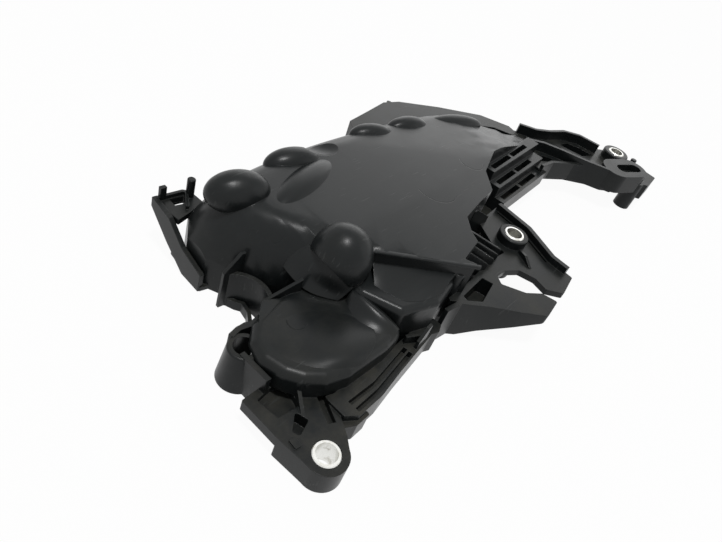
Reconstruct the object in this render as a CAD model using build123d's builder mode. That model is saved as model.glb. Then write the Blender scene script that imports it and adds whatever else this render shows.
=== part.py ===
from build123d import *
from math import cos, exp, hypot, log, pi, sin
import os

os.makedirs("parts", exist_ok=True)

# Walls and clearances, in millimetres
WALL = 2.4
ROOF = 2.4
RIB = 1.6
FUSE = 0.6
BUSH_GAP = 0.05

# Bolt bushes
BUSH_OD = 12.0
BUSH_BORE = 9.0
BUSH_CHAMFER = 0.5
BUSH_PROUD = 0.3
FRONT_BUSH_AT = (0.0, 0.0)
SIDE_BUSH_AT = (-17.4, 175.2)
REAR_BUSH_AT = (-18.1, 350.8)
LUG_RADIUS = 9.3
SIDE_BOSS_RADIUS = 8.6
REAR_BOSS_RADIUS = 9.5

# Levels above the joint face
BASE_THICKNESS = 2.4
LUG_TOP = 12.0
LUG_PLATE = 5.4
LUG_POCKET_DEPTH = 3.0
RAIL_TOP = 13.5
HOOK_TOP = 20.0
ARM_TOP = 22.0
ARM_PLATE = 3.5
PAD_TOP = 24.0
SHELF_TOP = 31.0
PANEL_TOP = 44.0
SKIRT_TOP = 24.0
REAR_ARM_TOP = 22.0
REAR_ARM_BOTTOM = 10.0
SIDE_BOSS_TOP = 27.0
REAR_BOSS_BOTTOM = 8.0
REAR_BOSS_TOP = 28.0
OVAL_BOTTOM = 15.0
OVAL_TOP = 29.0

# Rolled edge and slow fall of the big panel
ROLL_DEPTH = 21.0
ROLL_POWER = 2.2
ROLL_BLEND = 0.13
ROLL_LIMIT = 1.5
SIDE_FALL = 0.07
SIDE_FALL_START = -60.0
CREASE_FALL = 0.05
CREASE_SOFTNESS = 3.5
CREASE_LIMIT = 9.0
REAR_FALL = 13.0
REAR_FALL_START = 215.0
REAR_FALL_END = 292.0
RIPPLE_DEPTH = 0.7
RIPPLE_PITCH = 12.0
SECTIONS_AT = [8, 16, *range(20, 60, 4), 66, 76, 88, 100, *range(110, 292, 8), 300, 320]
SECTION_POINTS_AT = [-150, -142, *range(-136, -84, 6), -79, -72, -65, -58, -50, -42, -33, -22, -10, 4]
SLOPE_STEP = 1.0
STEEPEST = 3.5
AIR_TOP = 90.0

# Outline of the high body, seen from above, and how far in its edge is rolled
ROLLED_SIDE = [
    (-45, 58), (-64, 46), (-84, 33), (-100, 26), (-114, 27), (-126, 37), (-133, 60),
    (-135, 110), (-134, 160), (-128, 215), (-112, 255), (-92, 283),
]
ROLL_WIDTHS = [9, 14, 20, 22, 22, 22, 24, 24, 22, 18, 14]
STEPPED_SIDE = [
    (-74, 292), (-62, 283), (-61, 212), (-52, 186), (-40, 174), (-38, 157), (-35, 138),
    (-27, 130), (-21, 127), (-18, 109), (-9, 114), (-46.5, 71.5),
]


def smooth_step(value, start, end):
    """Rise from 0 to 1 with level ends."""
    share = min(1.0, max(0.0, (value - start) / (end - start)))
    return share * share * (3 - 2 * share)


def rolled_share(x, y):
    """Share of the roll that a place lies inside the rolled side, with its corners blended."""
    total = 0.0
    for (x0, y0), (x1, y1), width in zip(ROLLED_SIDE[:-1], ROLLED_SIDE[1:], ROLL_WIDTHS):
        inside = ((y1 - y0) * (x - x0) - (x1 - x0) * (y - y0)) / hypot(x1 - x0, y1 - y0)
        total += exp(-inside / width / ROLL_BLEND)
    return -ROLL_BLEND * log(total)


def panel_height(x, y):
    """Height of the big panel: level, rolled at its left, and falling to the rear."""
    lack = min(ROLL_LIMIT, max(0.0, 1 - rolled_share(x, y)))
    beyond_crease = y - 128 - 1.5 * (x + 110)
    fall = CREASE_FALL * CREASE_SOFTNESS * log(1 + exp(beyond_crease / CREASE_SOFTNESS))
    rear = REAR_FALL * smooth_step(y, REAR_FALL_START, REAR_FALL_END)
    side = SIDE_FALL * max(0.0, x - SIDE_FALL_START)
    across = 0.94 * x - 0.35 * y
    ripple_zone = smooth_step(y, 195, 225) * smooth_step(x, -95, -80)
    ripple = RIPPLE_DEPTH * ripple_zone * sin(2 * pi * across / RIPPLE_PITCH)
    return PANEL_TOP - ROLL_DEPTH * lack ** ROLL_POWER - min(fall, CREASE_LIMIT) - rear - side + ripple


def inner_height(x, y, thickness):
    """Height of the panel's inner side, lowered more where the panel is steep."""
    here = panel_height(x, y)
    across = panel_height(x + SLOPE_STEP, y) - panel_height(x - SLOPE_STEP, y)
    along = panel_height(x, y + SLOPE_STEP) - panel_height(x, y - SLOPE_STEP)
    steepness = hypot(1.0, hypot(across, along) / (2 * SLOPE_STEP))
    return here - thickness * min(steepness, STEEPEST)


def air_above_panel(thickness):
    """Everything above the panel skin, or above its inner side, lofted through sections."""
    sections = []
    low_end, high_end = SECTION_POINTS_AT[0], SECTION_POINTS_AT[-1]
    shares = [(x - low_end) / (high_end - low_end) for x in SECTION_POINTS_AT]
    for y in SECTIONS_AT:
        skin_line = [(x, inner_height(x, y, thickness), 0) for x in SECTION_POINTS_AT]
        section_plane = Plane(origin=(0, y, 0), x_dir=(1, 0, 0), z_dir=(0, -1, 0))
        with BuildSketch(section_plane) as section:
            with BuildLine():
                add(Edge.make_spline(skin_line, parameters=shares))
                Polyline(skin_line[-1], (skin_line[-1][0], AIR_TOP), (skin_line[0][0], AIR_TOP), skin_line[0])
            make_face()
        sections.append(section.sketch)
    with BuildPart() as air:
        loft(sections, ruled=True)
    return air.part


def prism(points, bottom, top, corner=1.0, edge=0.0, inset=0.0):
    """Upright form on an outline, with its corners and top edge rounded, or its core."""
    with BuildPart() as form:
        with BuildSketch(Plane.XY.offset(bottom)):
            with BuildLine():
                if inset > 0:
                    Polyline(*points, close=True)
                else:
                    FilletPolyline(*points, radius=corner, close=True)
            make_face()
            if inset > 0:
                offset(amount=-inset, kind=Kind.INTERSECTION)
        extrude(amount=top - bottom)
        if edge > 0:
            fillet(form.faces().sort_by(Axis.Z)[-1].edges(), radius=edge)
    return form.part


def wall(points, thickness, bottom, top, bend=0.0):
    """Upright wall of one thickness along a path."""
    with BuildPart() as form:
        with BuildSketch(Plane.XY.offset(bottom)):
            with BuildLine():
                if bend > 0:
                    FilletPolyline(*points, radius=bend)
                else:
                    Polyline(*points)
            trace(line_width=thickness)
        extrude(amount=top - bottom)
    return form.part


def fin(start, end, thickness, profile):
    """Upright fin between two places, with a profile of distances and heights."""
    run = (end[0] - start[0], end[1] - start[1])
    upright = Plane(origin=(start[0], start[1], 0), x_dir=(*run, 0), z_dir=(run[1], -run[0], 0))
    with BuildPart() as form:
        with BuildSketch(upright):
            with BuildLine():
                Polyline(*profile, close=True)
            make_face()
        extrude(amount=thickness / 2, both=True)
    return form.part


def dome(centre, heading, half_length, radius):
    """Smooth bulge, round across its heading."""
    flat = Plane(origin=centre, x_dir=(*heading, 0), z_dir=(0, 0, 1))
    with BuildPart() as form:
        with BuildSketch(flat):
            with BuildLine():
                EllipticalCenterArc((0, 0), half_length, radius, start_angle=0, arc_size=180)
                Line((-half_length, 0), (half_length, 0))
            make_face()
        revolve(axis=Axis(centre, (*heading, 0)))
    return form.part


def post(at, radius, bottom, top, edge=0.0):
    """Round upright post."""
    with BuildPart() as form:
        with BuildSketch(Plane.XY.offset(bottom)):
            with Locations(at):
                Circle(radius)
        extrude(amount=top - bottom)
        if edge > 0:
            fillet(form.faces().sort_by(Axis.Z)[-1].edges(), radius=edge)
    return form.part


def cone_post(at, low_radius, high_radius, bottom, top, edge=0.0):
    """Round upright post that tapers."""
    with BuildPart() as form:
        with Locations((*at, bottom)):
            Cone(low_radius, high_radius, top - bottom, align=(Align.CENTER, Align.CENTER, Align.MIN))
        if edge > 0:
            fillet(form.faces().sort_by(Axis.Z)[-1].edges(), radius=edge)
    return form.part


# Crisp domes on the panel: centre, heading, half length, radius
DOMES = [
    ((-107, 46, 42.8), (0.36, 0.93), 15.5, 10.0),
    ((-113.5, 89, 40), (0.3, 0.95), 16.0, 8.3),
    ((-113, 154, 39), (0.4, 0.92), 14.0, 6.8),
    ((-109, 186, 38), (0.3, 0.95), 15.0, 7.0),
    ((-98.5, 227, 35.5), (0.4, 0.92), 23.0, 6.8),
    ((-97, 80, 38), (-0.25, 0.97), 31.0, 9.5),
]
EGG_AT = (-55.0, 61.3, 37.0)
EGG_RADIUS = 14.4
EGG_HEIGHT = 16.0
DIMPLE_AT = (-115, 110)
DIMPLE_RADIUS = 20.0
DIMPLE_DEPTH = 1.5


def egg(at, radius, height):
    """Egg-shaped bulge with an upright axis."""
    upright = Plane(origin=at, x_dir=(1, 0, 0), z_dir=(0, -1, 0))
    with BuildPart() as form:
        with BuildSketch(upright):
            with BuildLine():
                EllipticalCenterArc((0, 0), radius, height, start_angle=-90, arc_size=180)
                Line((0, height), (0, -height))
            make_face()
        revolve(axis=Axis(at, (0, 0, 1)))
    return form.part


# High body with its domes
BODY_OUTLINE = ROLLED_SIDE + STEPPED_SIDE
body_block = prism(BODY_OUTLINE, 0, PANEL_TOP + ROOF, corner=0.8)
body_core = prism(BODY_OUTLINE, -1, PANEL_TOP + ROOF, inset=WALL)
body_room = prism(BODY_OUTLINE, -1, PANEL_TOP, inset=WALL - FUSE)
outer_domes = [dome(at, heading, length, radius) for at, heading, length, radius in DOMES]
inner_domes = [dome(at, heading, length - WALL, radius - WALL) for at, heading, length, radius in DOMES]
outer_domes.append(egg(EGG_AT, EGG_RADIUS, EGG_HEIGHT))
inner_domes.append(egg(EGG_AT, EGG_RADIUS - WALL, EGG_HEIGHT - WALL))
with BuildPart() as body_hollow:
    add(body_core)
    add(air_above_panel(ROOF), mode=Mode.SUBTRACT)
with BuildPart(Location((*DIMPLE_AT, panel_height(*DIMPLE_AT) + DIMPLE_RADIUS - DIMPLE_DEPTH))) as dimple:
    Sphere(DIMPLE_RADIUS)
with BuildPart() as body_shell:
    add(body_block)
    add(air_above_panel(0), mode=Mode.SUBTRACT)
    add(outer_domes)
    add(body_hollow.part, mode=Mode.SUBTRACT)
    add(inner_domes, mode=Mode.SUBTRACT)
    add(dimple.part, mode=Mode.SUBTRACT)

# Rear skirt, a low flat shelf behind the rolled edge
SKIRT_OUTLINE = [
    (-130, 168), (-144, 178), (-147, 201), (-150, 222), (-146, 235), (-128, 261), (-106, 287),
    (-86, 297), (-74, 293), (-100, 262), (-120, 222),
]
skirt = prism(SKIRT_OUTLINE, 0, SKIRT_TOP, corner=1.0)
skirt_nub = post((-148.6, 227.0), 1.8, 0, SKIRT_TOP)
skirt_core = prism(SKIRT_OUTLINE, -1, SKIRT_TOP - ROOF, corner=1.0, inset=WALL)

# Low forms in front of and beside the body
PAD_CORNER = 5.2
PAD_ROUND = 4.6
SHELF_CORNER = 4.0
SHELF_ROUND = 3.4
PAD_OUTLINE = [
    (-63, 48), (-61.5, 30), (-58, 14), (-51, 5.5), (-42, 2.5), (-31, 5), (-24, 9.5),
    (-18, 17), (-14.5, 28), (-13.5, 52), (-15, 66), (-40, 62), (-46, 59),
]
SHELF_OUTLINE = [(-48, 72), (-46.5, 58), (-38, 58), (-19, 65), (-12, 86), (-16, 108), (-24, 103)]
CHANNEL_WIDTH = 2.0
CHANNEL_DEPTH = 3.5
RAIL_OUTLINE = [
    (-16, 17), (-6, 16.5), (-2, 22), (-2, 37), (-4.5, 54), (-8, 84), (-6.5, 88),
    (-8.5, 93), (-16, 93), (-15, 60),
]
pad = prism(PAD_OUTLINE, 0, PAD_TOP, corner=PAD_CORNER, edge=PAD_ROUND)
pad_core = prism(PAD_OUTLINE, -1, PAD_TOP - ROOF, edge=PAD_ROUND - WALL, inset=WALL)
shelf = prism(SHELF_OUTLINE, 0, SHELF_TOP, corner=SHELF_CORNER, edge=SHELF_ROUND)
shelf_core = prism(SHELF_OUTLINE, -1, SHELF_TOP - ROOF, inset=WALL)
rail_flange = prism(RAIL_OUTLINE, 0, RAIL_TOP, corner=0.8)
RAIL_CORE = [(-13, 20), (-6, 20), (-4.4, 24), (-4.4, 37), (-6.9, 54), (-10, 80), (-13, 80)]
rail_core = prism(RAIL_CORE, -1, RAIL_TOP - ROOF - CHANNEL_DEPTH, corner=0.5)
RAIL_CHANNELS = [[(-8.5, 23), (-7.8, 40), (-11, 66)], [(-4.4, 23), (-4.5, 38), (-8, 66)]]
rail_channels = [wall(path, CHANNEL_WIDTH, RAIL_TOP - CHANNEL_DEPTH, RAIL_TOP + 1) for path in RAIL_CHANNELS]
rail_end_plate = wall([(-13.9, 67.6), (-9.3, 75.9)], RIB, RAIL_TOP - ROOF, 18)
rail_fin = fin((-8.2, 69.5), (-8.8, 78), RIB, [(0, 11), (0, 18), (5, 24), (8.5, 24), (8.5, 11)])
rail_ledge = prism([(-8, 15), (-3.5, 14.6), (-0.6, 20), (-0.6, 28), (-4, 29)], 0, 10, corner=0.6)

# Front lug
LUG_OUTLINE = [
    (-37, -8.8), (-17, -9.6), (-1, -9.2), (6.6, -6.4), (6.6, 6.4), (0, 12), (-8, 17), (-14, 22),
    (-37, 22),
]
LUG_BLOCK = [
    (-17, -9.6), (-1, -9.2), (6.6, -6.4), (6.6, 6.4), (0, 12), (-8, 17), (-14, 22), (-23, 18), (-23, -2),
    (-17, -5),
]
lug_end = post(FRONT_BUSH_AT, LUG_RADIUS, 0, LUG_TOP)
lug_plate = prism(LUG_OUTLINE, LUG_TOP - LUG_PLATE, LUG_TOP, corner=0.6)
lug_block = prism(LUG_BLOCK, 0, LUG_TOP, corner=0.6)
LUG_POCKET = [(-33.4, -4), (-34.3, 3.8), (-33, 9.9), (-21.2, 7.5), (-22.6, -3.3)]
LUG_WELL = [(-20.3, 3.7), (-14.3, 5.3), (-11.7, -2.4), (-14.9, -3.5)]
lug_pocket = prism(LUG_POCKET, LUG_TOP - LUG_POCKET_DEPTH, LUG_TOP + 1, corner=0.6)
lug_well = prism(LUG_WELL, LUG_TOP - 2 * LUG_POCKET_DEPTH, LUG_TOP + 1, corner=1.0)
lug_slot = wall([(-21.4, 18.6), (-7.5, 11.4)], 3.6, LUG_TOP - LUG_POCKET_DEPTH, LUG_TOP + 1)
lug_rib = fin((-33, 14), (-16.9, 4.9), RIB, [(0, 8), (0, 20), (5, 18.5), (18.5, 12), (18.5, 8)])
lug_tab = fin((-32.4, 9.2), (-27.2, 10.8), 2.0, [(0, 8), (0, 15), (5.4, 15), (5.4, 8)])
lug_pad = prism([(-13.2, -7.4), (-8.8, -8), (-8.2, -5.2), (-12.6, -4.4)], LUG_TOP - 1, LUG_TOP + 0.8, corner=0.4)

# Half-round notch and the rounded wall in front of it
NOTCH_AT = (-73.0, 19.5)
NOTCH_RADIUS = 13.7
NOTCH_WALL = 2.2
TUBE_AT = (-52.0, 5.0)
TUBE_RADIUS = 9.3
TUBE_TAPER = 2.2
HOOK_BASE = [
    (-86, 30), (-84, 22), (-60, 12), (-61, 5), (-50, 1), (-36, 0.4), (-36, 22), (-50, 50), (-66, 50),
]
hook_base = prism(HOOK_BASE, 0, BASE_THICKNESS, corner=0.5)
notch_ring = post(NOTCH_AT, NOTCH_RADIUS + NOTCH_WALL, 0, HOOK_TOP)
notch_air = post(NOTCH_AT, NOTCH_RADIUS, -1, HOOK_TOP + 1)
tube_outer = cone_post(TUBE_AT, TUBE_RADIUS, TUBE_RADIUS - TUBE_TAPER, 0, HOOK_TOP - 0.5, edge=1.0)
tube_inner = cone_post(TUBE_AT, TUBE_RADIUS - WALL, TUBE_RADIUS - TUBE_TAPER - WALL, BASE_THICKNESS, HOOK_TOP)
notch_mouth = prism([(-104, 27), (-84.5, 26.5), (-61, 14), (-61, 8), (-62, -10), (-104, -10)], -1, HOOK_TOP + 1)
side_wall = wall([(-59.6, 21), (-58.6, 15), (-60.0, 9), (-59.0, 4)], WALL, 0, HOOK_TOP, bend=3)
front_wall = wall([(-50, 1.6), (-34, 1.0)], WALL, 0, HOOK_TOP)
notch_claw = wall([(-84.6, 27.8), (-80.7, 29.2), (-78, 31), (-72.4, 29.5), (-68.2, 26.3)], 1.8, 0, 5)
notch_window = prism([(-84.5, 28.4), (-79.6, 32.0), (-82.5, 38.5), (-88.5, 36)], -1, 10, corner=0.5)
gusset = fin((-86.2, 23.5), (-84.9, 34), RIB, [(0, 0), (0, 21), (8, 30), (10, 30), (10, 0)])
notch_fin = fin((-64, 27), (-58.5, 42), RIB, [(0, 0), (0, 22), (16, 31), (16, 0)])

# Left bracket
bracket_wall = fin((-139, 27.5), (-98, 23.5), WALL,
                   [(0, 20), (0, 25), (14, 23), (26, 14), (41, 10), (41, 0), (28, 0), (14, 9)])
BRACKET_PLATE = [(-140, 27), (-135, 46), (-126, 46), (-122, 28)]
bracket_hole = prism([(-136, 33.5), (-134.5, 41), (-129.5, 40), (-131, 33)], 19, 24, corner=0.6)
bracket_tooth = prism([(-139, 29.4), (-136.9, 29.2), (-136.5, 32.4), (-138.6, 32.6)], 22, 30, corner=0.3)
with BuildPart() as bracket_plate:
    add(prism(BRACKET_PLATE, 20, 23, corner=0.6))
    add(bracket_hole, mode=Mode.SUBTRACT)
bracket_web = wall([(-126, 36), (-136, 43.5), (-138, 28)], RIB, 18, 25, bend=1.5)
bracket_base = prism([(-125, 28), (-106, 24), (-98, 22.5), (-96, 31), (-124, 42)], 0, BASE_THICKNESS)
bracket_post = post((-133.5, 43.5), 2.0, 18, 33, edge=0.6)

# Arms with the open slot between them
ARM_OUTLINE = [
    (-14, 100), (-5, 108), (2, 115), (15, 127), (26, 138), (24.5, 153), (16, 151), (10, 143),
    (-2, 136.5), (-6.5, 140), (-6, 148), (-1, 156), (8, 158.5), (16, 156), (24, 162.5),
    (21.5, 180), (6, 182), (-15, 193), (-39, 197), (-38, 172), (-23, 162), (-14, 162), (-16, 145),
    (-14, 125),
]
arm_plate = prism(ARM_OUTLINE, ARM_TOP - ARM_PLATE, ARM_TOP, corner=1.2)
arm_skirt = wall([(-10, 94), (-8.5, 105), (2, 116.5), (15, 128.5), (24.8, 138.3), (23.5, 151)],
                 WALL, 0, ARM_TOP, bend=1.5)
arm_skirt_air = fin((-10, 94), (26, 140), 60, [(12, -1), (58, 17), (80, 17), (80, -1)])
arm_rim = wall([(-38, 195), (-15, 191.5), (6.5, 180.5), (17, 179.5)], 3.0, ARM_TOP - ARM_PLATE, 26, bend=2)
side_boss = post(SIDE_BUSH_AT, SIDE_BOSS_RADIUS, 0, SIDE_BOSS_TOP, edge=0.8)
PIT_FLOOR = 10.0
pit_floor = prism([(-44, 195), (-16, 189), (-9, 160), (-9, 137), (-3, 134), (1.5, 116.5), (-8, 106), (-20, 106), (-45, 120)],
                  PIT_FLOOR, PIT_FLOOR + ROOF, corner=1)
arm_pocket = prism([(-10, 110), (-11, 131), (-5, 132.5), (-1.5, 115.5), (-7, 109)], PIT_FLOOR + ROOF, ARM_TOP + 1, corner=0.6)
arm_pocket_frame = prism([(-11.6, 108.4), (-12.6, 132.8), (-4.2, 134.4), (0.2, 115.6), (-6.4, 107.4)],
                         PIT_FLOOR, ARM_TOP, corner=0.6)
arm_groove = wall([(-36, 191.8), (-15.8, 188.4), (5.5, 177.9)], 1.5, ARM_TOP - 1.8, ARM_TOP + 1)
arm_fin = fin((-9, 170), (2, 163), RIB, [(0, 19), (0, 24), (6, 25), (13, 22.5), (13, 19)])

# Comb of fins that slope from the body down into the pit, its rib and its corner post
COMB_TOP = 36.0
COMB_END = 26.0
COMB_REACH = 8.0
COMB = [
    ((-30, 139), (-15.5, 156)), ((-26, 134), (-14.5, 150.5)), ((-22.5, 129.5), (-14, 145)), ((-20.5, 123), (-14, 138)),
]
pit_fins = []
for start, end in COMB:
    length = hypot(end[0] - start[0], end[1] - start[1])
    share = COMB_REACH / length
    root = (start[0] - share * (end[0] - start[0]), start[1] - share * (end[1] - start[1]))
    comb_profile = [(0, PIT_FLOOR), (0, COMB_TOP), (COMB_REACH, COMB_TOP), (COMB_REACH + length, COMB_END),
                    (COMB_REACH + length, PIT_FLOOR)]
    pit_fins.append(fin(root, end, RIB, comb_profile))
pit_fins.append(fin((-38.4, 156), (-36, 176), RIB, [(0, 10), (0, 36), (3, 36), (20, 26), (20, 10)]))
pit_post = post((-17.0, 108), 3.5, 5, 34, edge=1.5)

# Steps down the right side of the body
STEP_TOPS = [34.0, 27.0, 20.0]
STEP_OUTER = [-53.5, -46.0, -39.0]
step_forms = []
step_cuts = []
for outer, top in zip(STEP_OUTER, STEP_TOPS):
    step_forms.append(prism([(-64, 208), (outer, 208), (outer - 1.5, 276), (-64, 276)], REAR_ARM_BOTTOM, top, corner=0.5))
    for near, far in [(212, 236.5), (239, 262)]:
        lean = 0.03 * (near - 212)
        step_cuts.append(prism([(outer - 5.5 - lean, near), (outer - 2 - lean, near), (outer - 2.8 - lean, far),
                                (outer - 6.3 - lean, far)], top - 7, top + 1, corner=0.4))

# Rear arm
REAR_ARM_OUTLINE = [
    (-66, 270), (-44, 270), (-43, 283), (-33, 300), (-12, 321), (15.5, 342), (15, 362), (-1, 364),
    (-10, 360), (-26, 359), (-31, 352), (-46, 348), (-57, 334), (-63, 316), (-74, 306), (-90, 294),
]
rear_plate = prism(REAR_ARM_OUTLINE, REAR_ARM_BOTTOM, REAR_ARM_TOP, corner=1.0)
rear_core = prism(REAR_ARM_OUTLINE, 0, REAR_ARM_TOP - ROOF, corner=1.0, inset=WALL)
front_crest = wall([(-44, 271), (-42, 284), (-32, 301), (-11, 321.5), (6, 335)], WALL, 12, 25, bend=3)
middle_crest = wall([(-69, 281.5), (-56.5, 294.2), (-44.7, 299.9), (-26.8, 306.5), (-9.9, 314.6), (0, 328)],
                    WALL, 12, 29, bend=3)
back_crest = wall([(-80, 299.5), (-69, 306.5), (-62, 317), (-56, 331), (-46, 339.5), (-30, 342)], WALL, 12, 29, bend=3)
BASIN_FLOOR = 11.6
BASINS = [
    [(-66, 302), (-59.5, 310), (-51, 320), (-43, 318), (-46, 303), (-54, 299)],
    [(-62, 279), (-54, 290), (-43, 297.5), (-44, 287), (-49.5, 277)],
    [(-40, 322), (-27, 322), (-14, 321), (0, 331), (-3, 320), (-15, 314.5), (-30, 313)],
    [(-54, 320), (-50.7, 332), (-42, 336.5), (-27, 338.5), (-33, 324), (-44, 321.5)],
]
basin_blocks = [prism(points, BASIN_FLOOR, REAR_ARM_TOP, corner=1.0) for points in BASINS]
basin_cuts = [prism(points, BASIN_FLOOR + ROOF, 40, inset=RIB) for points in BASINS]
arm_nub = post((-5, 359), 2.2, 18, 27, edge=0.6)
rear_boss = post(REAR_BUSH_AT, REAR_BOSS_RADIUS, REAR_BOSS_BOTTOM, REAR_BOSS_TOP, edge=1.0)
leg = post((7, 340), 6.0, 0, REAR_ARM_TOP)
with BuildPart() as oval_boss:
    with BuildSketch(Plane(origin=(-4, 331, OVAL_BOTTOM), x_dir=(0.45, 0.89, 0), z_dir=(0, 0, 1))):
        SlotOverall(38, 22)
    extrude(amount=OVAL_TOP - OVAL_BOTTOM)
with BuildPart() as oval_recess:
    with BuildSketch(Plane(origin=(-2, 334, 24), x_dir=(0.45, 0.89, 0), z_dir=(0, 0, 1))):
        SlotOverall(22, 9)
    extrude(amount=10)

# Low forms, hollowed from below and open towards the inside of the body
OUTER_FORMS = [skirt, pad, shelf, rail_flange, rail_ledge, rear_plate, tube_outer, notch_ring, hook_base]
CORES = [skirt_core, pad_core, shelf_core, rail_core, rear_core, tube_inner, notch_air, notch_mouth]
BRACKET = [bracket_wall, bracket_plate.part, bracket_web, bracket_base, bracket_post, bracket_tooth]
FRONT_WALLS = [front_wall, side_wall, notch_fin, gusset, lug_plate, lug_block, lug_end, rail_end_plate, rail_fin]
LUG_CUTS = [lug_pocket, lug_well, lug_slot]
LUG_RIBS = [lug_rib, lug_tab, lug_pad]
ARMS = [arm_plate, arm_rim, pit_floor, arm_pocket_frame, front_crest, middle_crest, back_crest, arm_nub, leg, oval_boss.part]
ARM_CUTS = [arm_pocket, arm_groove, oval_recess.part]
PIT_FORMS = [*pit_fins, pit_post, arm_fin, side_boss, rear_boss]

with BuildPart() as arm_wall:
    add(arm_skirt)
    add(arm_skirt_air, mode=Mode.SUBTRACT)

with BuildPart() as low_forms:
    add(OUTER_FORMS)
    add(step_forms)
    add(CORES, mode=Mode.SUBTRACT)
    add(skirt_nub)
    add(basin_blocks)
    add(basin_cuts, mode=Mode.SUBTRACT)
    add(BRACKET)
    add(FRONT_WALLS)
    add(LUG_CUTS, mode=Mode.SUBTRACT)
    add(LUG_RIBS)
    add(ARMS)
    add(arm_wall.part)
    add(ARM_CUTS, mode=Mode.SUBTRACT)
    add(PIT_FORMS)
    add(body_room, mode=Mode.SUBTRACT)
    add(step_cuts + rail_channels, mode=Mode.SUBTRACT)

# The whole moulding, with a seat for each bush
BUSHES = {
    "front_bush": (FRONT_BUSH_AT, 0.0, LUG_TOP + BUSH_PROUD),
    "side_bush": (SIDE_BUSH_AT, 0.0, SIDE_BOSS_TOP + BUSH_PROUD),
    "rear_bush": (REAR_BUSH_AT, REAR_BOSS_BOTTOM, REAR_BOSS_TOP + BUSH_PROUD),
}
with BuildPart() as cover_moulding:
    add(low_forms.part)
    add(body_shell.part)
    add(notch_window, mode=Mode.SUBTRACT)
    add(notch_claw)
    for place, low_end, high_end in BUSHES.values():
        with BuildSketch(Plane.XY.offset(low_end - 1)):
            with Locations(place):
                Circle(BUSH_OD / 2 + BUSH_GAP)
        extrude(amount=high_end - low_end + 2, mode=Mode.SUBTRACT)

cover_moulding.part.label = "cover_moulding"
export_step(cover_moulding.part, "parts/cover_moulding.step")
print("solids", len(cover_moulding.solids()), "volume", cover_moulding.part.volume)

# Steel bushes
for name, (place, low_end, high_end) in BUSHES.items():
    with BuildPart() as bush:
        with BuildSketch(Plane.XY.offset(low_end)):
            with Locations(place):
                Circle(BUSH_OD / 2)
                Circle(BUSH_BORE / 2, mode=Mode.SUBTRACT)
        extrude(amount=high_end - low_end)
        chamfer(bush.edges().filter_by(GeomType.CIRCLE).sort_by(SortBy.RADIUS)[-2:], length=BUSH_CHAMFER)
    bush.part.label = name
    export_step(bush.part, f"parts/{name}.step")
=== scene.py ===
"""Looks for a moulded plastic valve cover.

The plastic, its steel bushes, the soft forms at the front, the floor, the light and the camera.
"""

import logging
import math
from dataclasses import dataclass
from enum import Enum
from typing import Any, Iterable, Optional, Union

import bpy
from mathutils import Matrix, Vector


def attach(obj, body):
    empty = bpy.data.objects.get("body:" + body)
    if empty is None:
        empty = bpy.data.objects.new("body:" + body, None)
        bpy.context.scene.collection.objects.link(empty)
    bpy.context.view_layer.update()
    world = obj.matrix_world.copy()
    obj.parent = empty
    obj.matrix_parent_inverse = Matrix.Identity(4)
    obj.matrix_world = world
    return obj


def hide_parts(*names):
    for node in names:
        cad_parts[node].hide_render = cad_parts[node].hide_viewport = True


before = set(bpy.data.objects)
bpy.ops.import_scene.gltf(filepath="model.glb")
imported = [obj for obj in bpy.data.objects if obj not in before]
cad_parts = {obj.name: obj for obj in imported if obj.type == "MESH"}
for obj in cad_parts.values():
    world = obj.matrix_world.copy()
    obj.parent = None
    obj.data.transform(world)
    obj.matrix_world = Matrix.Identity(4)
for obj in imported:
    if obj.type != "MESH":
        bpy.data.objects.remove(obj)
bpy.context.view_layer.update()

log = logging.getLogger("valve_cover")

MM = 0.001
BODY = "root"

Colour = tuple[float, float, float]
Point = tuple[float, float, float]
Direction = tuple[float, float, float]
Span = tuple[float, float]

WHITE = (1.0, 1.0, 1.0, 1.0)
GROUND_PLAN = (1.0, 1.0, 0.0)
NOISE_MIDDLE = 0.5
WALL_DOWNWARDS = -1.0

# Digits that tell a new grid's rows apart
GRID_DIGITS = 5

# Sockets of a Mix node that mixes colours
MIX_SHARE = 0
MIX_FIRST = 6
MIX_SECOND = 7
MIX_RESULT = 2


class NodeKind(Enum):
    """Shader nodes that the materials use."""

    PRINCIPLED = "ShaderNodeBsdfPrincipled"
    OUTPUT = "ShaderNodeOutputMaterial"
    COORDS = "ShaderNodeTexCoord"
    GEOMETRY = "ShaderNodeNewGeometry"
    MAPPING = "ShaderNodeMapping"
    NOISE = "ShaderNodeTexNoise"
    MATH = "ShaderNodeMath"
    VECTOR_MATH = "ShaderNodeVectorMath"
    SPLIT = "ShaderNodeSeparateXYZ"
    MIX = "ShaderNodeMix"
    BUMP = "ShaderNodeBump"
    BEVEL = "ShaderNodeBevel"
    LIGHT_PATH = "ShaderNodeLightPath"
    EMISSION = "ShaderNodeEmission"
    MIX_SHADER = "ShaderNodeMixShader"
    BACKGROUND = "ShaderNodeBackground"
    WORLD_OUTPUT = "ShaderNodeOutputWorld"


Input = Union["Wire", float, tuple, None]


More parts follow.
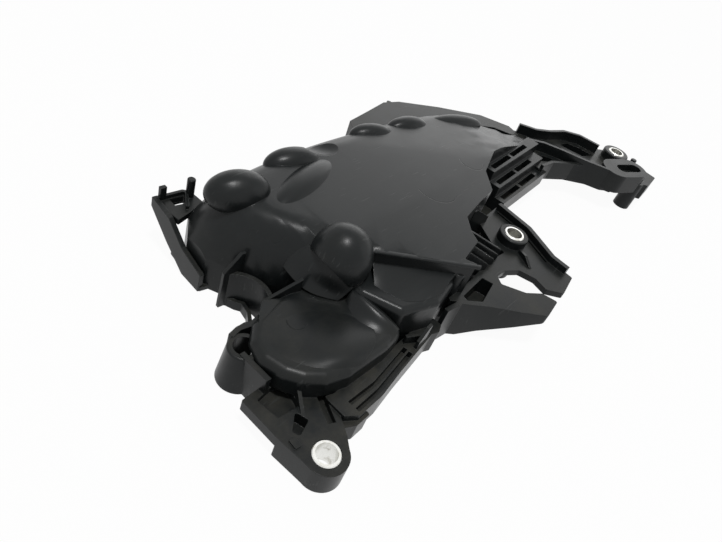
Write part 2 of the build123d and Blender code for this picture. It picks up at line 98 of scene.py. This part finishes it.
class Wire:
    """A shader socket that can be used in Python expressions."""

    def __init__(self, graph: "Graph", socket: bpy.types.NodeSocket) -> None:
        """Wrap one output socket of a graph."""
        self.graph = graph
        self.socket = socket

    def _maths(self, operation: str, first: Input, second: Input,
               clamp: bool = False) -> "Wire":
        """Add one Math node."""
        settings = {"operation": operation, "use_clamp": clamp}
        return self.graph.node(NodeKind.MATH, settings, {0: first, 1: second})[0]

    def __add__(self, other: Input) -> "Wire":
        """Add."""
        return self._maths("ADD", self, other)

    def __radd__(self, other: Input) -> "Wire":
        """Add, with the number first."""
        return self._maths("ADD", other, self)

    def __sub__(self, other: Input) -> "Wire":
        """Subtract."""
        return self._maths("SUBTRACT", self, other)

    def __rsub__(self, other: Input) -> "Wire":
        """Subtract from a number."""
        return self._maths("SUBTRACT", other, self)

    def __mul__(self, other: Input) -> "Wire":
        """Multiply."""
        return self._maths("MULTIPLY", self, other)

    def __rmul__(self, other: Input) -> "Wire":
        """Multiply, with the number first."""
        return self._maths("MULTIPLY", other, self)

    def __truediv__(self, other: Input) -> "Wire":
        """Divide."""
        return self._maths("DIVIDE", self, other)

    def __rtruediv__(self, other: Input) -> "Wire":
        """Divide a number."""
        return self._maths("DIVIDE", other, self)

    def clamped(self) -> "Wire":
        """Keep the value between 0 and 1."""
        return self._maths("ADD", self, 0.0, clamp=True)

    def between(self, low: float, high: float) -> "Wire":
        """Rise from 0 at low to 1 at high.

        Args:
            low: value that gives 0.
            high: value that gives 1.

        Returns:
            The clamped share.
        """
        return ((self - low) / (high - low)).clamped()


@dataclass(frozen=True)
class Pattern:
    """A noise pattern: the size of a blot in metres, its octaves and their weight."""

    size: float
    detail: float
    rough: float = 0.55
    stretch: Optional[Point] = None


class Graph:
    """A node tree that is built through one method."""

    def __init__(self, tree: bpy.types.NodeTree) -> None:
        """Start with an empty tree."""
        self.tree = tree
        tree.nodes.clear()

    def node(self, kind: NodeKind, settings: Optional[dict[str, Any]] = None,
             inputs: Optional[dict[Union[int, str], Input]] = None) -> list[Wire]:
        """Add a node.

        Args:
            kind: which node.
            settings: its properties, set first.
            inputs: values or wires of its sockets, by name or number.

        Returns:
            The node's outputs.
        """
        made = self.tree.nodes.new(kind.value)
        for name, value in (settings or {}).items():
            setattr(made, name, value)
        for name, value in (inputs or {}).items():
            if isinstance(value, Wire):
                self.tree.links.new(value.socket, made.inputs[name])
            elif value is not None:
                made.inputs[name].default_value = value
        return [Wire(self, output) for output in made.outputs]

    def named(self, wires: list[Wire], name: str) -> Wire:
        """Pick the enabled output with a name."""
        return next(w for w in wires if w.socket.name == name and w.socket.enabled)

    def object_coords(self) -> Wire:
        """Give the Object coordinates, in metres."""
        return self.named(self.node(NodeKind.COORDS), "Object")

    def noise(self, where: Wire, pattern: Pattern) -> Wire:
        """Add a noise pattern.

        Args:
            where: coordinates in metres.
            pattern: its size, octaves and stretch.

        Returns:
            The pattern's value, NOISE_MIDDLE on average.
        """
        if pattern.stretch:
            where = self.node(NodeKind.MAPPING, {}, {"Vector": where, "Scale": pattern.stretch})[0]
        return self.node(NodeKind.NOISE, {"noise_dimensions": "3D"}, {
            "Vector": where, "Scale": 1.0 / pattern.size,
            "Detail": pattern.detail, "Roughness": pattern.rough,
        })[0]

    def vector(self, operation: str, first: Input, second: Input = None) -> list[Wire]:
        """Add one Vector Math node and give its outputs."""
        return self.node(NodeKind.VECTOR_MATH, {"operation": operation}, {0: first, 1: second})

    def mix(self, share: Input, first: Union[Wire, Colour], second: Union[Wire, Colour]) -> Wire:
        """Mix two colours.

        Args:
            share: how much of the second is taken.
            first: the colour at 0.
            second: the colour at 1.

        Returns:
            The mixed colour.
        """
        first, second = (c if isinstance(c, Wire) else (*c, 1.0) for c in (first, second))
        return self.node(NodeKind.MIX, {"data_type": "RGBA"}, {
            MIX_SHARE: share, MIX_FIRST: first, MIX_SECOND: second,
        })[MIX_RESULT]

    def split(self, vector: Wire) -> list[Wire]:
        """Split a vector into its three numbers."""
        return self.node(NodeKind.SPLIT, {}, {0: vector})

    def background_rays(self) -> Wire:
        """Find the rays that see the white background: camera, mirrored and passing ones.

        Returns:
            1 for such a ray and 0 for any other.
        """
        path = self.node(NodeKind.LIGHT_PATH)
        mirrored = self.named(path, "Is Glossy Ray") + self.named(path, "Is Transmission Ray")
        return (self.named(path, "Is Camera Ray") + mirrored).clamped()


def new_material(name: str) -> tuple[bpy.types.Material, Graph]:
    """Make an empty material.

    Args:
        name: its name.

    Returns:
        The material and its graph.
    """
    material = bpy.data.materials.new(name)
    material.use_nodes = True
    return material, Graph(material.node_tree)


@dataclass(frozen=True)
class Arc:
    """A thin curved mark that an ejector or a gate leaves, in mm and seen from above.

    It runs round its centre on both sides of the direction towards, as far as the cosine
    reach, and only on faces above lowest.
    """

    centre: tuple[float, float]
    radius: float
    towards: tuple[float, float]
    reach: float
    lowest: float
    width: float = 0.30


MOULD_MARKS = (
    Arc((-58.2, 140.8), 11.6, (0.756, -0.655), 0.346, 39.6),
    Arc((-61.6, 184.5), 7.3, (0.684, -0.73), -0.084, 39.6),
    Arc((-46.2, 27.7), 4.2, (0.683, -0.731), -0.1, 21.3),
    Arc((-80.6, 46.5), 3.3, (0.729, -0.685), 0.538, 33.5),
    Arc((-10.1, 4.9), 2.4, (0.561, -0.828), -0.37, 13.4),
)


@dataclass(frozen=True)
class MouldedPlastic:
    """Satin black plastic with dust, worn edges, scratches and mould marks."""

    name: str = "moulded_plastic"
    plastic: Colour = (0.0080, 0.0096, 0.0100)
    worn: Colour = (0.0175, 0.0190, 0.0190)
    dust: Colour = (0.050, 0.047, 0.037)
    edge: Colour = (0.036, 0.039, 0.038)
    roughness: float = 0.31
    specular: float = 0.20

    broad: Pattern = Pattern(0.060, 2.0)
    patches: Pattern = Pattern(0.016, 4.0, 0.62)
    fine: Pattern = Pattern(0.0022, 3.0, 0.6)
    speck: Pattern = Pattern(0.0007, 2.0, 0.6)
    streaks: Pattern = Pattern(0.006, 3.0, 0.6, (1.0, 0.18, 1.0))

    corner: float = 0.0004
    corner_samples: int = 6
    edge_turn: Span = (0.02, 0.22)
    edge_share: float = 0.35
    edge_patches: float = 0.5

    dust_heights: Span = (0.014, 0.030)
    dust_facing: Span = (0.15, 0.95)
    dust_patches: Span = (0.36, 0.72)
    dust_share: float = 0.55
    smudges: Span = (0.58, 0.82)
    smudge_share: float = 0.18

    worn_areas: Span = (0.35, 0.75)
    worn_area_share: float = 0.45
    worn_streaks: Span = (0.5, 0.8)
    worn_streak_share: float = 0.35

    dust_roughness: float = 0.28
    patch_roughness: float = 0.12
    speck_roughness: float = 0.06

    bump_strength: float = 0.35
    grain_depth: float = 0.00005
    fine_depth: float = 0.5
    speck_depth: float = 0.35
    broad_depth: float = 2.0
    mark_depth: float = 7.0
    mark_end: float = 0.02
    mark_fade: float = 0.5
    scratch_depth: float = 1.5
    scratch_tint: float = 0.5
    scratch_turns: tuple[float, ...] = (0.4, 1.5, 2.6)
    scratch_shift: tuple[float, float] = (0.37, 0.11)
    scratch_stretch: Point = (1.0, 0.045, 0.3)
    scratch_scale: float = 900.0
    scratch_lines: Span = (0.735, 0.775)
    scratch_area: float = 0.011
    scratch_area_step: float = 0.003
    scratch_areas: Span = (0.56, 0.66)

    def mould_mark(self, g: Graph, flat: Wire, height: Wire, arc: Arc) -> Wire:
        """Draw one curved mould mark.

        Args:
            g: the material's graph.
            flat: Object coordinates with no height.
            height: the height.
            arc: the mark.

        Returns:
            1 on the mark and 0 off it.
        """
        centre = (arc.centre[0] * MM, arc.centre[1] * MM, 0.0)
        arm = g.vector("SUBTRACT", flat, centre)[0]
        length = g.named(g.vector("LENGTH", arm), "Value")
        along = g.named(g.vector("DOT_PRODUCT", arm, (*arc.towards, 0.0)), "Value")
        off = g.node(NodeKind.MATH, {"operation": "ABSOLUTE"}, {0: length - arc.radius * MM})[0]
        ring = (1.0 - off / (arc.width * MM)).clamped()
        swept = (along - length * arc.reach).between(0.0, arc.radius * self.mark_end * MM)
        above = height.between((arc.lowest - self.mark_fade) * MM, arc.lowest * MM)
        return ring * swept * above

    def mould_marks(self, g: Graph, where: Wire, height: Wire) -> Wire:
        """Draw the curved mould marks.

        Args:
            g: the material's graph.
            where: Object coordinates.
            height: the height.

        Returns:
            1 on a mark and 0 off it.
        """
        flat = g.vector("MULTIPLY", where, GROUND_PLAN)[0]
        found = self.mould_mark(g, flat, height, MOULD_MARKS[0])
        for arc in MOULD_MARKS[1:]:
            found = (found + self.mould_mark(g, flat, height, arc)).clamped()
        return found

    def scratches(self, g: Graph, where: Wire) -> Wire:
        """Draw sparse fine scratches in three directions.

        Args:
            g: the material's graph.
            where: Object coordinates.

        Returns:
            1 in a scratch and 0 elsewhere.
        """
        parts = []
        for number, turn in enumerate(self.scratch_turns):
            shift = (self.scratch_shift[0] * number, self.scratch_shift[1] * number, 0.0)
            turned = g.node(NodeKind.MAPPING, {}, {
                "Vector": where, "Location": shift, "Rotation": (0.0, 0.0, turn),
                "Scale": self.scratch_stretch,
            })[0]
            lines = g.node(NodeKind.NOISE, {"noise_dimensions": "3D"}, {
                "Vector": turned, "Scale": self.scratch_scale, "Detail": 0.0,
            })[0]
            area = Pattern(self.scratch_area + self.scratch_area_step * number, 1.0)
            gate = g.noise(where, area).between(*self.scratch_areas)
            parts.append(lines.between(*self.scratch_lines) * gate)
        return sum(parts[1:], parts[0]).clamped()

    def make(self) -> bpy.types.Material:
        """Build the material.

        Returns:
            The material.
        """
        material, g = new_material(self.name)
        where = g.object_coords()
        height = g.split(where)[2]
        true_normal = g.named(g.node(NodeKind.GEOMETRY), "Normal")
        facing = g.split(true_normal)[2]
        rounded = g.node(NodeKind.BEVEL, {"samples": self.corner_samples},
                         {"Radius": self.corner})[0]
        turned = g.named(g.vector("DOT_PRODUCT", rounded, true_normal), "Value")
        on_edge = (1.0 - turned).between(*self.edge_turn)
        broad = g.noise(where, self.broad)
        patches = g.noise(where, self.patches)
        fine = g.noise(where, self.fine)
        speck = g.noise(where, self.speck)
        streaks = g.noise(where, self.streaks)
        marks = self.mould_marks(g, where, height)
        scratch = self.scratches(g, where)

        settled = (1.0 - height.between(*self.dust_heights)) * facing.between(*self.dust_facing)
        settled = settled * patches.between(*self.dust_patches) * self.dust_share
        smudged = patches.between(*self.smudges) * fine * self.smudge_share
        dusty = (settled + smudged).clamped()
        worn_areas = broad.between(*self.worn_areas) * self.worn_area_share
        worn_streaks = streaks.between(*self.worn_streaks) * self.worn_streak_share
        handled = (worn_areas + worn_streaks).clamped()

        colour = g.mix(handled, self.plastic, self.worn)
        colour = g.mix(dusty, colour, self.dust)
        colour = g.mix(on_edge * (self.edge_share + patches * self.edge_patches), colour, self.edge)
        colour = g.mix(scratch * self.scratch_tint, colour, self.edge)
        rough = self.roughness + dusty * self.dust_roughness
        rough = rough + (patches - NOISE_MIDDLE) * self.patch_roughness
        rough = rough + (speck - NOISE_MIDDLE) * self.speck_roughness
        grain = fine * self.fine_depth + speck * self.speck_depth + broad * self.broad_depth
        relief = grain - marks * self.mark_depth - scratch * self.scratch_depth
        bump = g.node(NodeKind.BUMP, {}, {
            "Strength": self.bump_strength, "Distance": self.grain_depth,
            "Height": relief, "Normal": rounded,
        })[0]
        shader = g.node(NodeKind.PRINCIPLED, {}, {
            "Base Color": colour, "Roughness": rough, "Metallic": 0.0,
            "Specular IOR Level": self.specular, "Normal": bump,
        })[0]
        g.node(NodeKind.OUTPUT, {}, {"Surface": shader})
        return material


@dataclass(frozen=True)
class PlatedSteel:
    """Bright zinc plated steel with a fine grain and a few stains."""

    name: str = "plated_steel"
    bright: Colour = (0.80, 0.80, 0.77)
    stained: Colour = (0.42, 0.40, 0.34)
    roughness: float = 0.30
    blots: Pattern = Pattern(0.004, 4.0, 0.65)
    fine: Pattern = Pattern(0.0006, 2.0, 0.6)
    stains: Span = (0.52, 0.72)
    stain_share: float = 0.8
    stain_roughness: float = 0.2
    grain_roughness: float = 0.15
    grain_depth: float = 0.00003
    bump_strength: float = 0.3

    def make(self) -> bpy.types.Material:
        """Build the material.

        Returns:
            The material.
        """
        material, g = new_material(self.name)
        where = g.object_coords()
        fine = g.noise(where, self.fine)
        stain = g.noise(where, self.blots).between(*self.stains)
        colour = g.mix(stain * self.stain_share, self.bright, self.stained)
        rough = self.roughness + stain * self.stain_roughness
        rough = rough + (fine - NOISE_MIDDLE) * self.grain_roughness
        bump = g.node(NodeKind.BUMP, {}, {
            "Strength": self.bump_strength, "Distance": self.grain_depth, "Height": fine,
        })[0]
        shader = g.node(NodeKind.PRINCIPLED, {}, {
            "Base Color": colour, "Roughness": rough, "Metallic": 1.0, "Normal": bump,
        })[0]
        g.node(NodeKind.OUTPUT, {}, {"Surface": shader})
        return material


@dataclass(frozen=True)
class StudioWhite:
    """Floor that is seen as white, and that still takes the object's shadow in its light."""

    name: str = "studio_white"
    colour: Colour = (0.82, 0.82, 0.82)
    roughness: float = 0.9
    specular: float = 0.1
    whiteness: float = 0.95

    def make(self) -> bpy.types.Material:
        """Build the material.

        Returns:
            The material.
        """
        material, g = new_material(self.name)
        matt = g.node(NodeKind.PRINCIPLED, {}, {
            "Base Color": (*self.colour, 1.0), "Roughness": self.roughness,
            "Specular IOR Level": self.specular,
        })[0]
        white = g.node(NodeKind.EMISSION, {}, {"Color": WHITE, "Strength": 1.0})[0]
        share = g.background_rays() * self.whiteness
        shader = g.node(NodeKind.MIX_SHADER, {}, {0: share, 1: matt, 2: white})[0]
        g.node(NodeKind.OUTPUT, {}, {"Surface": shader})
        return material


def only(piece: bpy.types.Object) -> None:
    """Select one object and make it active.

    Args:
        piece: the object.
    """
    bpy.ops.object.select_all(action="DESELECT")
    piece.select_set(True)
    bpy.context.view_layer.objects.active = piece


def apply_modifier(piece: bpy.types.Object, name: str, kind: str, **settings: Any) -> None:
    """Add a modifier with its settings and apply it.

    Args:
        piece: the object.
        name: the modifier's name.
        kind: the modifier's type.
        settings: its properties.
    """
    only(piece)
    modifier = piece.modifiers.new(name, kind)
    for key, value in settings.items():
        setattr(modifier, key, value)
    bpy.ops.object.modifier_apply(modifier=modifier.name)


def finish_piece(piece: bpy.types.Object, material: bpy.types.Material) -> None:
    """Dress a plastic piece and let it ride on the body.

    Args:
        piece: the object.
        material: its material.
    """
    piece.data.materials.clear()
    piece.data.materials.append(material)
    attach(piece, BODY)


@dataclass
class Moulding:
    """The one-piece plastic moulding, with its round boss trimmed and its shading cleaned.

    The boss's centre, the reach and foot of what is trimmed, and the trimming plane are in mm.
    """

    node: str = "cover_moulding"
    name: str = "cover_surface"
    merge: float = 0.02 * MM
    smooth_below: float = math.radians(20)
    large_face_weight: int = 90
    egg_centre: Point = (-55.0, 61.3, 37.0)
    egg_reach: float = 16.6
    egg_foot: float = 27.0
    egg_cut_at: Point = (-66.1, 51.2, 39.0)
    egg_cut_facing: Direction = (-0.103, -0.728, -0.678)

    def trim_egg(self, piece: bpy.types.Object) -> None:
        """Cut the round boss flat at its lower front side, where the slope passes before it.

        Args:
            piece: the moulding's surface.
        """
        centre, at = Vector(self.egg_centre), Vector(self.egg_cut_at)
        facing = Vector(self.egg_cut_facing).normalized()
        for face in piece.data.polygons:
            face.select = (Vector(face.center) / MM - centre).length < self.egg_reach
        bpy.ops.object.mode_set(mode="EDIT")
        bpy.ops.mesh.bisect(plane_co=at * MM, plane_no=facing)
        bpy.ops.object.mode_set(mode="OBJECT")
        for vertex in piece.data.vertices:
            place = vertex.co / MM
            beyond = facing.dot(place - at)
            in_boss = (place - centre).length < self.egg_reach and place.z > self.egg_foot
            if in_boss and beyond > 0.0:
                vertex.co = (place - facing * beyond) * MM

    def build(self, plastic: bpy.types.Material) -> bpy.types.Object:
        """Make the moulding's surface from the solid.

        Args:
            plastic: its material.

        Returns:
            The new piece.
        """
        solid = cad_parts[self.node]
        piece = bpy.data.objects.new(self.name, solid.data.copy())
        bpy.context.scene.collection.objects.link(piece)
        only(piece)
        bpy.ops.object.mode_set(mode="EDIT")
        bpy.ops.mesh.select_all(action="SELECT")
        bpy.ops.mesh.remove_doubles(threshold=self.merge)
        bpy.ops.mesh.dissolve_degenerate(threshold=self.merge)
        bpy.ops.object.mode_set(mode="OBJECT")
        self.trim_egg(piece)
        only(piece)
        # The solid's own normals show as blotches once its doubles are merged
        bpy.ops.mesh.customdata_custom_splitnormals_clear()
        bpy.ops.object.shade_smooth_by_angle(angle=self.smooth_below)
        apply_modifier(piece, "flat_faces", "WEIGHTED_NORMAL", mode="FACE_AREA",
                       weight=self.large_face_weight, keep_sharp=True)
        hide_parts(self.node)
        finish_piece(piece, plastic)
        return piece


@dataclass(frozen=True)
class FormedSheet:
    """A softly formed part of the moulding's top, drawn through rows of points in mm."""

    name: str
    rows: tuple[tuple[Point, ...], ...]
    levels: int = 3
    thickness: float = 0.6
    smooth_below: float = math.radians(40)

    def build(self, plastic: bpy.types.Material) -> bpy.types.Object:
        """Shape a grid through the rows, smooth it and give it a thickness downwards.

        Args:
            plastic: its material.

        Returns:
            The new piece.
        """
        bpy.ops.object.select_all(action="DESELECT")
        across, along = len(self.rows[0]), len(self.rows)
        bpy.ops.mesh.primitive_grid_add(x_subdivisions=across - 1, y_subdivisions=along - 1,
                                        size=1.0)
        piece = bpy.context.object
        piece.name = self.name
        row_by_row = sorted(piece.data.vertices,
                            key=lambda v: (round(v.co.y, GRID_DIGITS), round(v.co.x, GRID_DIGITS)))
        places = [point for row in self.rows for point in row]
        for vertex, place in zip(row_by_row, places):
            vertex.co = Vector(place) * MM
        apply_modifier(piece, "soft", "SUBSURF", levels=self.levels, render_levels=self.levels,
                       boundary_smooth="PRESERVE_CORNERS")
        apply_modifier(piece, "wall", "SOLIDIFY", thickness=self.thickness * MM,
                       offset=WALL_DOWNWARDS)
        only(piece)
        bpy.ops.object.shade_smooth_by_angle(angle=self.smooth_below)
        finish_piece(piece, plastic)
        return piece


@dataclass(frozen=True)
class FlatLedge:
    """A flat form with a crisp edge and a straight drop, in mm."""

    name: str
    outline: tuple[Point, ...]
    drop: float
    corner: float
    corner_steps: int = 3
    bevel_above: float = math.radians(50)
    smooth_below: float = math.radians(25)

    def build(self, plastic: bpy.types.Material) -> bpy.types.Object:
        """Shape a filled ring to the outline, extrude it down and round its top edge.

        Args:
            plastic: its material.

        Returns:
            The new piece.
        """
        bpy.ops.object.select_all(action="DESELECT")
        bpy.ops.mesh.primitive_circle_add(vertices=len(self.outline), radius=1.0,
                                          fill_type="NGON")
        piece = bpy.context.object
        piece.name = self.name
        for vertex, place in zip(piece.data.vertices, self.outline):
            vertex.co = Vector(place) * MM
        bpy.ops.object.mode_set(mode="EDIT")
        bpy.ops.mesh.select_all(action="SELECT")
        down = (0.0, 0.0, -self.drop * MM)
        bpy.ops.mesh.extrude_region_move(TRANSFORM_OT_translate={"value": down})
        bpy.ops.mesh.select_all(action="SELECT")
        bpy.ops.mesh.normals_make_consistent(inside=False)
        bpy.ops.object.mode_set(mode="OBJECT")
        apply_modifier(piece, "edge", "BEVEL", width=self.corner * MM,
                       segments=self.corner_steps, limit_method="ANGLE",
                       angle_limit=self.bevel_above)
        only(piece)
        bpy.ops.object.shade_smooth_by_angle(angle=self.smooth_below)
        finish_piece(piece, plastic)
        return piece


@dataclass
class TopForms:
    """Forms on the moulding's top: ledge, shelf, ridge, ramp, crown and the side pit's web."""

    panel_ledge: FlatLedge = FlatLedge("panel_ledge", (
        (-45.6, 70.6, 42.95), (-9.6, 111.6, 40.50), (-10.6, 113.6, 40.62), (-46.6, 72.8, 42.90),
    ), 1.5, 0.3)
    shelf: FormedSheet = FormedSheet("shelf_dish", (
        ((-37.5, 66.6, 31.0), (-26.6, 68.6, 31.1), (-20.3, 72.2, 31.1),
         (-16.2, 81.5, 31.1), (-14.4, 92.0, 31.1)),
        ((-39.5, 68.6, 32.2), (-30.0, 73.0, 31.8), (-24.0, 78.0, 31.8),
         (-18.5, 86.0, 31.8), (-15.8, 95.5, 31.9)),
        ((-42.5, 71.0, 34.0), (-34.5, 79.0, 33.4), (-27.0, 86.5, 33.2),
         (-20.5, 93.5, 33.1), (-16.6, 99.5, 33.2)),
        ((-45.5, 73.5, 36.0), (-37.5, 82.6, 35.7), (-29.5, 91.6, 35.3),
         (-22.5, 99.5, 34.9), (-17.5, 104.8, 34.5)),
    ))
    ridge: FormedSheet = FormedSheet("pad_ridge", (
        ((-42.3, 54.6, 23.6), (-34.5, 49.8, 23.6), (-25.5, 48.5, 23.6),
         (-18.8, 51.0, 23.5), (-14.8, 55.0, 22.6)),
        ((-42.3, 55.6, 26.0), (-34.5, 53.4, 26.0), (-25.5, 54.0, 25.6),
         (-19.8, 56.0, 24.8), (-15.2, 58.5, 23.0)),
        ((-42.6, 57.4, 30.2), (-34.6, 57.0, 30.6), (-26.4, 57.8, 29.6),
         (-20.8, 59.2, 28.3), (-16.3, 61.0, 25.4)),
        ((-42.8, 60.0, 28.5), (-34.5, 60.8, 28.2), (-27.0, 61.6, 27.0),
         (-21.0, 62.5, 25.5), (-16.5, 63.5, 23.0)),
    ))
    ramp: FormedSheet = FormedSheet("egg_ramp", (
        ((-71.2, 43.7, 26.9), (-59.1, 41.9, 25.5), (-51.4, 45.1, 24.6), (-43.8, 51.5, 24.3)),
        ((-71.6, 46.3, 31.2), (-60.0, 45.0, 31.0), (-52.3, 47.9, 28.5), (-43.0, 53.2, 26.5)),
        ((-70.9, 49.4, 35.4), (-59.7, 46.5, 36.5), (-50.8, 48.1, 34.0), (-42.4, 55.0, 28.6)),
        ((-70.2, 53.6, 38.2), (-59.8, 49.9, 40.0), (-50.2, 50.2, 38.8), (-41.8, 56.7, 31.2)),
    ))
    crown: FormedSheet = FormedSheet("pad_crown", (
        ((-32.3, 8.5, 23.2), (-26.1, 11.8, 23.2), (-21.0, 18.5, 23.2),
         (-17.2, 26.5, 23.2), (-15.0, 34.2, 23.2)),
        ((-39.9, 7.2, 23.8), (-32.5, 13.0, 24.4), (-25.2, 20.0, 25.2),
         (-18.9, 28.4, 26.4), (-15.5, 39.7, 24.3)),
        ((-48.0, 9.5, 23.9), (-40.2, 17.4, 24.6), (-31.0, 25.0, 25.6),
         (-23.6, 33.4, 27.4), (-17.4, 46.1, 24.8)),
        ((-57.4, 16.3, 23.7), (-49.9, 26.2, 24.1), (-40.6, 34.7, 24.6),
         (-30.9, 41.2, 26.2), (-21.2, 50.7, 25.0)),
        ((-63.9, 24.8, 23.4), (-58.3, 36.1, 23.4), (-49.1, 44.3, 23.4),
         (-38.9, 51.7, 23.4), (-26.9, 55.7, 23.4)),
    ))
    web: FlatLedge = FlatLedge("pit_web", (
        (-62.0, 214.0, 11.6), (-52.0, 186.0, 11.6), (-37.0, 194.0, 11.6),
        (-36.0, 198.0, 11.6), (-49.0, 214.0, 11.6),
    ), 1.6, 0.2)

    def build(self, plastic: bpy.types.Material) -> list[bpy.types.Object]:
        """Make the forms.

        Args:
            plastic: their material.

        Returns:
            The new pieces.
        """
        forms = (self.panel_ledge, self.shelf, self.ridge, self.ramp, self.crown, self.web)
        return [form.build(plastic) for form in forms]


@dataclass
class Bushes:
    """The steel bushes in the bolt lugs."""

    nodes: tuple[str, ...] = ("front_bush", "side_bush", "rear_bush")

    def dress(self, steel: bpy.types.Material) -> list[bpy.types.Object]:
        """Give each bush its plated finish.

        Args:
            steel: their material.

        Returns:
            The bushes.
        """
        pieces = [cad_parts[name] for name in self.nodes]
        for piece in pieces:
            piece.data.materials.clear()
            piece.data.materials.append(steel)
        return pieces


@dataclass(frozen=True)
class Lamp:
    """A round soft lamp: its place and width in metres, and its power in watts."""

    name: str
    place: Point
    width: float
    power: float


@dataclass
class Studio:
    """Pale floor, soft light and the camera at the photograph's place, in metres."""

    middle: Point = (-0.06, 0.17, 0.02)
    camera_at: Point = (0.043354, -0.124858, 0.211384)
    right: Direction = (0.73941, 0.61018, 0.28453)
    down: Direction = (0.59086, -0.38551, -0.70871)
    ahead: Direction = (-0.32275, 0.69215, -0.64557)
    lens: float = 30.91
    sensor_width: float = 36.0
    nearest: float = 0.01
    floor_size: float = 6.0
    floor_at: Point = (-0.05, 0.17, -0.0005)
    horizon: float = 0.30
    ceiling: float = 0.36
    ceiling_heights: Span = (0.62, 0.86)
    lamps: tuple[Lamp, ...] = (
        Lamp("back_lamp", (-0.85, 1.75, 0.70), 1.7, 6.0),
        Lamp("side_lamp", (1.3, 1.3, 1.0), 1.0, 1.0),
        Lamp("top_lamp", (0.08, -0.10, 1.7), 0.30, 16.0),
    )

    def build_floor(self) -> None:
        """Lay the floor."""
        bpy.ops.object.select_all(action="DESELECT")
        bpy.ops.mesh.primitive_plane_add(size=self.floor_size, location=self.floor_at)
        floor = bpy.context.object
        floor.name = "floor"
        bpy.ops.object.transform_apply(location=True, rotation=True, scale=True)
        floor.data.materials.append(StudioWhite().make())

    def build_light(self) -> None:
        """Hang the soft lamps, aimed at the middle of the cover."""
        for spec in self.lamps:
            data = bpy.data.lights.new(spec.name, "AREA")
            data.shape = "DISK"
            data.size = spec.width
            data.energy = spec.power
            lamp = bpy.data.objects.new(spec.name, data)
            bpy.context.scene.collection.objects.link(lamp)
            lamp.location = spec.place
            aim = Vector(self.middle) - Vector(spec.place)
            lamp.rotation_euler = aim.to_track_quat("-Z", "Y").to_euler()

    def build_world(self) -> None:
        """Set a soft grey world that the camera and reflections see as white."""
        world = bpy.data.worlds.new("studio_world")
        bpy.context.scene.world = world
        world.use_nodes = True
        g = Graph(world.node_tree)
        seen = g.background_rays()
        climb = g.split(g.named(g.node(NodeKind.COORDS), "Generated"))[2]
        above = climb.between(*self.ceiling_heights)
        room = self.horizon - above * (self.horizon - self.ceiling)
        strength = room * (1.0 - seen) + seen
        shader = g.node(NodeKind.BACKGROUND, {}, {"Color": WHITE, "Strength": strength})[0]
        g.node(NodeKind.WORLD_OUTPUT, {}, {"Surface": shader})

    def build_camera(self) -> None:
        """Place the camera."""
        data = bpy.data.cameras.new("camera")
        data.lens = self.lens
        data.sensor_width = self.sensor_width
        data.clip_start = self.nearest
        camera = bpy.data.objects.new("camera", data)
        bpy.context.scene.collection.objects.link(camera)
        up = -Vector(self.down)
        back = -Vector(self.ahead)
        turn = Matrix((Vector(self.right), up, back)).transposed().to_4x4()
        camera.matrix_world = Matrix.Translation(self.camera_at) @ turn
        bpy.context.scene.camera = camera

    def build(self) -> None:
        """Build the whole studio."""
        self.build_floor()
        self.build_light()
        self.build_world()
        self.build_camera()
        bpy.context.scene.view_settings.view_transform = "Standard"


def main() -> None:
    """Build every piece in order."""
    logging.basicConfig(level=logging.INFO, format="%(name)s: %(message)s")
    plastic = MouldedPlastic().make()
    steel = PlatedSteel().make()
    pieces = [Moulding().build(plastic), *TopForms().build(plastic), *Bushes().dress(steel)]
    for piece in pieces:
        log.info("%s: %d faces", piece.name, len(piece.data.polygons))
    Studio().build()
    log.info("studio built")


if __name__ == "__main__":
    main()
